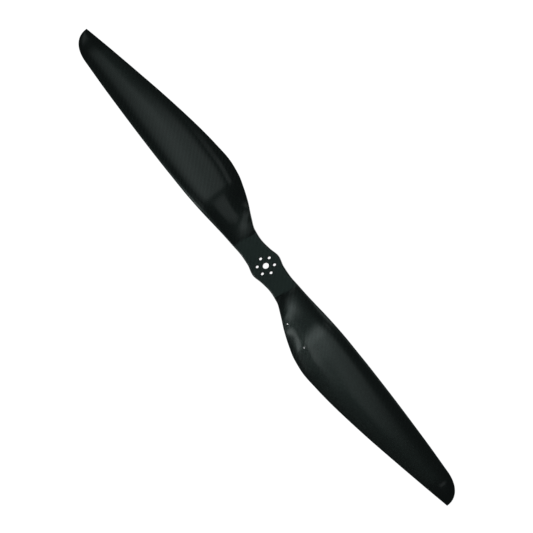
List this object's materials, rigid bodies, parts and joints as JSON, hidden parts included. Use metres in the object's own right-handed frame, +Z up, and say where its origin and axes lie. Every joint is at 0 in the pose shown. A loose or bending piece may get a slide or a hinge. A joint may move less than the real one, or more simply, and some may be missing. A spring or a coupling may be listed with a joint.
{
  "type": "two-blade multirotor propeller",
  "caption": "Carbon-fibre drone propeller with twisted, cambered blades, raked tips and a flat drilled hub that bolts to a motor.",
  "frame": {"origin": "centre of the hub's bottom face, on the axis of rotation", "axes": "+X along the span to the tip of blade 1, +Z up along the axis of rotation towards the suction side, +Y the side of blade 1's leading edge"},
  "size_m": [0.4064, 0.048, 0.0113],
  "materials": {
    "woven_carbon": "gloss clear coat over a fine carbon weave",
    "woven_carbon_underside": "gloss clear coat over a fine carbon weave",
    "carbon_ply": "cured carbon ply",
    "unidirectional_carbon": "cured unidirectional carbon",
    "resin_rich_roving": "resin and carbon roving",
    "rigid_foam": "fine closed-cell foam",
    "solid_laminate": "solid carbon laminate"
  },
  "bodies": {
    "root": {"upper_skin": "woven_carbon", "lower_skin": "woven_carbon_underside", "hub_core": "solid_laminate", "hub_top_ply": "carbon_ply", "hub_bottom_ply": "carbon_ply", "upper_spar_cap": "unidirectional_carbon", "lower_spar_cap": "unidirectional_carbon", "foam_core_1": "rigid_foam", "foam_core_2": "rigid_foam", "leading_roving_1": "resin_rich_roving", "leading_roving_2": "resin_rich_roving", "trailing_strip_1": "resin_rich_roving", "trailing_strip_2": "resin_rich_roving", "tip_fill_1": "solid_laminate", "tip_fill_2": "solid_laminate"}
  },
  "joints": []
}
